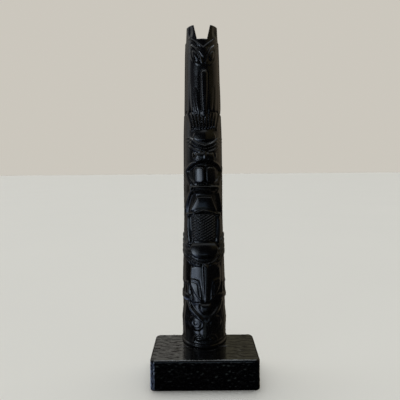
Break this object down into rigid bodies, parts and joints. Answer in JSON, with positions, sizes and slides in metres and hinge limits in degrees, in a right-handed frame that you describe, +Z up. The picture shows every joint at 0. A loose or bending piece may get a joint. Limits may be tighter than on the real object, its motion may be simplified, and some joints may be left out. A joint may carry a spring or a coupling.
{
  "type": "model totem pole",
  "caption": "Half-round black model totem pole carved with a bird, a beaver, a hawk and a bear face, upright on a rectangular block base.",
  "frame": {"origin": "centre of the base's underside, on the surface the model stands on", "axes": "+Z up the pole, -Y out of the carved front, +Y out of the flat back, +X to the right of someone facing the front"},
  "size_m": [0.088, 0.046, 0.3011],
  "materials": {
    "base_resin": "glossy black moulded resin with a hammered, pebbled surface",
    "pole_resin": "glossy black moulded resin, like polished black slate"
  },
  "bodies": {
    "root": {"base": "base_resin", "totem_pole": "pole_resin"}
  },
  "joints": []
}
